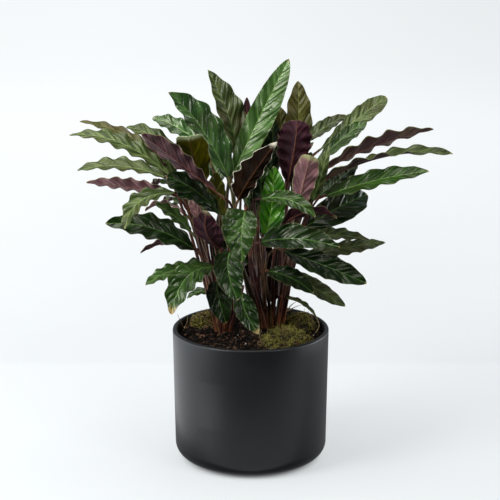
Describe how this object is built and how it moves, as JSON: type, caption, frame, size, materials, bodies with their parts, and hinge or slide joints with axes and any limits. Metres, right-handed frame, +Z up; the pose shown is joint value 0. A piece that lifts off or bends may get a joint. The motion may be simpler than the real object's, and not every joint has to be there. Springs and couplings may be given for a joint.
{
  "type": "potted velvet calathea",
  "caption": "Potted calathea: wavy lance-shaped leaves, green above and purple below, on red-brown stalks in a round matt black pot of soil and moss.",
  "frame": {"origin": "centre of the pot's foot, on the surface that it stands on", "axes": "+Z up, -Y towards the viewer of the picture, +X to that viewer's right"},
  "size_m": [0.4881, 0.2945, 0.5241],
  "materials": {
    "pot": "satin",
    "soil": "matte",
    "moss": "matte",
    "stalk": "satin",
    "leaf": "satin",
    "leaf_light": "satin",
    "leaf_olive": "satin"
  },
  "bodies": {
    "root": {"pot": "pot", "soil": "soil", "moss_left": "moss", "moss_front": "moss", "moss_right": "moss", "leaf_crown_wide": "leaf", "leaf_crown_back_left": "leaf", "leaf_purple_dark": "leaf", "leaf_front_hanging": "leaf", "leaf_front_lower": "leaf", "leaf_front_lowest": "leaf", "leaf_front_brown_tip": "leaf", "leaf_left_low_front": "leaf", "leaf_left_low_back": "leaf", "leaf_purple_curled": "leaf", "leaf_left_broad": "leaf", "leaf_left_bright": "leaf_light", "leaf_left_middle": "leaf", "leaf_left_pink": "leaf", "leaf_left_purple": "leaf", "leaf_left_long": "leaf_light", "leaf_left_upper": "leaf_light", "leaf_left_thin": "leaf_olive", "leaf_left_yellow": "leaf_light", "leaf_purple_left": "leaf", "leaf_olive_folded": "leaf_olive", "leaf_left_dark_high": "leaf", "leaf_left_dark": "leaf", "leaf_olive_upright": "leaf_olive", "leaf_pink_strip": "leaf", "leaf_low_purple": "leaf", "stalks_left": "stalk", "leaf_crown_tall": "leaf", "leaf_crown_olive": "leaf_olive", "leaf_crown_dark": "leaf", "leaf_purple_upright": "leaf", "leaf_purple_low_upright": "leaf", "leaf_right_high": "leaf_light", "leaf_right_second": "leaf", "leaf_right_purple": "leaf", "leaf_right_long": "leaf", "leaf_right_level": "leaf", "leaf_right_broad": "leaf", "leaf_right_low_back": "leaf", "leaf_right_low_front": "leaf", "leaf_right_drooping": "leaf", "leaf_front_glossy": "leaf", "leaf_front_right_low": "leaf", "leaf_low_right": "leaf", "leaf_low_right_curl": "leaf", "leaf_young_green": "leaf_light", "leaf_front_green": "leaf", "leaf_purple_front": "leaf", "leaf_inner_dark": "leaf", "leaf_inner_green": "leaf", "leaf_green_strip": "leaf_light", "stalks_right": "stalk", "shoot_back_left": "leaf", "shoot_back_mid": "leaf", "shoot_back_right": "leaf"}
  },
  "joints": []
}
